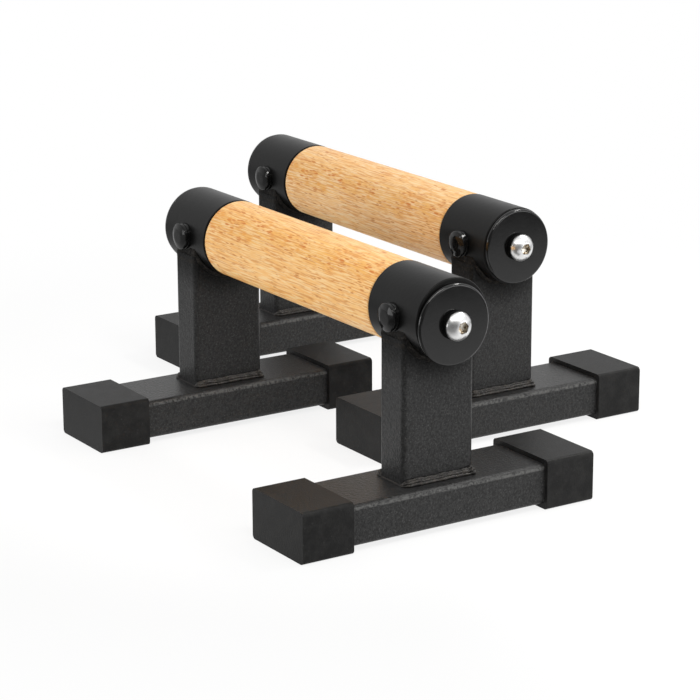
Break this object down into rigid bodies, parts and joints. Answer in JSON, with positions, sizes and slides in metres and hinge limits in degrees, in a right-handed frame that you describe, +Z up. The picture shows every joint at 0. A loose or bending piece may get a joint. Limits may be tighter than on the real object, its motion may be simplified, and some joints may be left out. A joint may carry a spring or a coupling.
{
  "type": "parallette bar",
  "caption": "Low parallettes with round wooden grips clamped in steel collars on welded uprights and rubber-capped feet, for push-ups and handstands.",
  "frame": {"origin": "on the floor, midway between the two bars: the bottom centre of the bounding box", "axes": "+X along both grips, towards the front bar's right end; +Y along the feet, from the front bar towards the rear bar; +Z up"},
  "size_m": [0.442, 0.3446, 0.153],
  "materials": {
    "beech": "sanded and oiled",
    "collar_coat": "satin powder coat",
    "cover_coat": "satin powder coat with a bright rim",
    "frame_coat": "fine-textured powder coat",
    "weld": "weld bead under powder coat",
    "rubber": "moulded matte",
    "washer": "moulded",
    "gloss_cap": "glossy",
    "stainless": "turned and polished",
    "zinc": "zinc plated"
  },
  "bodies": {
    "front_bar": {"front_bar_grip": "beech", "front_bar_left_collar": "collar_coat", "front_bar_left_upright": "frame_coat", "front_bar_left_foot_tube": "frame_coat", "front_bar_left_foot_front_cap": "rubber", "front_bar_left_foot_rear_cap": "rubber", "front_bar_left_end_cover": "cover_coat", "front_bar_left_end_washer": "washer", "front_bar_left_end_screw": "stainless", "front_bar_left_end_insert": "zinc", "front_bar_left_side_screw": "zinc", "front_bar_left_side_screw_cap": "gloss_cap", "front_bar_left_collar_weld": "weld", "front_bar_left_foot_weld": "weld", "front_bar_right_collar": "collar_coat", "front_bar_right_upright": "frame_coat", "front_bar_right_foot_tube": "frame_coat", "front_bar_right_foot_front_cap": "rubber", "front_bar_right_foot_rear_cap": "rubber", "front_bar_right_end_cover": "cover_coat", "front_bar_right_end_washer": "washer", "front_bar_right_end_screw": "stainless", "front_bar_right_end_insert": "zinc", "front_bar_right_side_screw": "zinc", "front_bar_right_side_screw_cap": "gloss_cap", "front_bar_right_collar_weld": "weld", "front_bar_right_foot_weld": "weld"},
    "rear_bar": {"rear_bar_grip": "beech", "rear_bar_left_collar": "collar_coat", "rear_bar_left_upright": "frame_coat", "rear_bar_left_foot_tube": "frame_coat", "rear_bar_left_foot_front_cap": "rubber", "rear_bar_left_foot_rear_cap": "rubber", "rear_bar_left_end_cover": "cover_coat", "rear_bar_left_end_washer": "washer", "rear_bar_left_end_screw": "stainless", "rear_bar_left_end_insert": "zinc", "rear_bar_left_side_screw": "zinc", "rear_bar_left_side_screw_cap": "gloss_cap", "rear_bar_left_collar_weld": "weld", "rear_bar_left_foot_weld": "weld", "rear_bar_right_collar": "collar_coat", "rear_bar_right_upright": "frame_coat", "rear_bar_right_foot_tube": "frame_coat", "rear_bar_right_foot_front_cap": "rubber", "rear_bar_right_foot_rear_cap": "rubber", "rear_bar_right_end_cover": "cover_coat", "rear_bar_right_end_washer": "washer", "rear_bar_right_end_screw": "stainless", "rear_bar_right_end_insert": "zinc", "rear_bar_right_side_screw": "zinc", "rear_bar_right_side_screw_cap": "gloss_cap", "rear_bar_right_collar_weld": "weld", "rear_bar_right_foot_weld": "weld"}
  },
  "joints": [
    {"name": "rear_bar_slide", "type": "slide", "parent": "front_bar", "child": "rear_bar", "axis": [0, 1, 0], "range_m": [-0.06, 0.36]}
  ]
}
